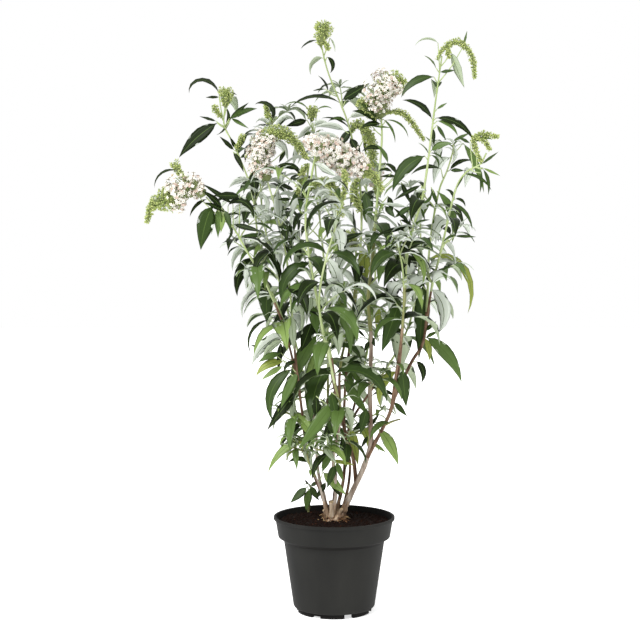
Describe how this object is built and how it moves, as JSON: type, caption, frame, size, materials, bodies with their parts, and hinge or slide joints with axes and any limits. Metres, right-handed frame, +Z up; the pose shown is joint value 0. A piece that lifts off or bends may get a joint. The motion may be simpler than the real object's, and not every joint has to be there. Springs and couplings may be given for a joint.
{
  "type": "butterfly bush in a nursery pot",
  "caption": "White-flowered butterfly bush: an open clump of woody canes and leafy shoots in a dark grey nursery pot.",
  "frame": {"origin": "middle of the pot's flat underside", "axes": "+Z up along the pot's axis, -Y towards the front, +X to the right seen from the front"},
  "size_m": [0.5791, 0.5229, 1.0186],
  "materials": {
    "pot": "satin",
    "soil": "matte",
    "bark": "matte",
    "leaf": "satin",
    "blossom": "matte"
  },
  "bodies": {
    "root": {"cane_back": "bark", "cane_back_left": "bark", "cane_back_right": "bark", "cane_centre": "bark", "cane_centre_left": "bark", "cane_far_right": "bark", "cane_front": "bark", "cane_front_right": "bark", "cane_left": "bark", "cane_low_front": "bark", "cane_outer_left": "bark", "cane_outer_right": "bark", "cane_rear_side": "bark", "cane_right": "bark", "cane_right_green": "bark", "cane_side": "bark", "cane_tall": "bark", "cane_upper_left": "bark", "clump": "bark", "leaves_back": "leaf", "leaves_back_left": "leaf", "leaves_back_right": "leaf", "leaves_centre": "leaf", "leaves_centre_left": "leaf", "leaves_far_right": "leaf", "leaves_front": "leaf", "leaves_front_right": "leaf", "leaves_left": "leaf", "leaves_low_back": "leaf", "leaves_low_back_left": "leaf", "leaves_low_back_right": "leaf", "leaves_low_centre": "leaf", "leaves_low_front": "leaf", "leaves_low_front_left": "leaf", "leaves_low_left": "leaf", "leaves_low_left_front": "leaf", "leaves_low_right": "leaf", "leaves_low_right_inner": "leaf", "leaves_outer_left": "leaf", "leaves_outer_right": "leaf", "leaves_rear_side": "leaf", "leaves_right": "leaf", "leaves_right_green": "leaf", "leaves_side_tuft": "leaf", "leaves_sucker": "leaf", "leaves_tall": "leaf", "leaves_upper_left": "leaf", "pot": "pot", "soil": "soil"}
  },
  "joints": []
}
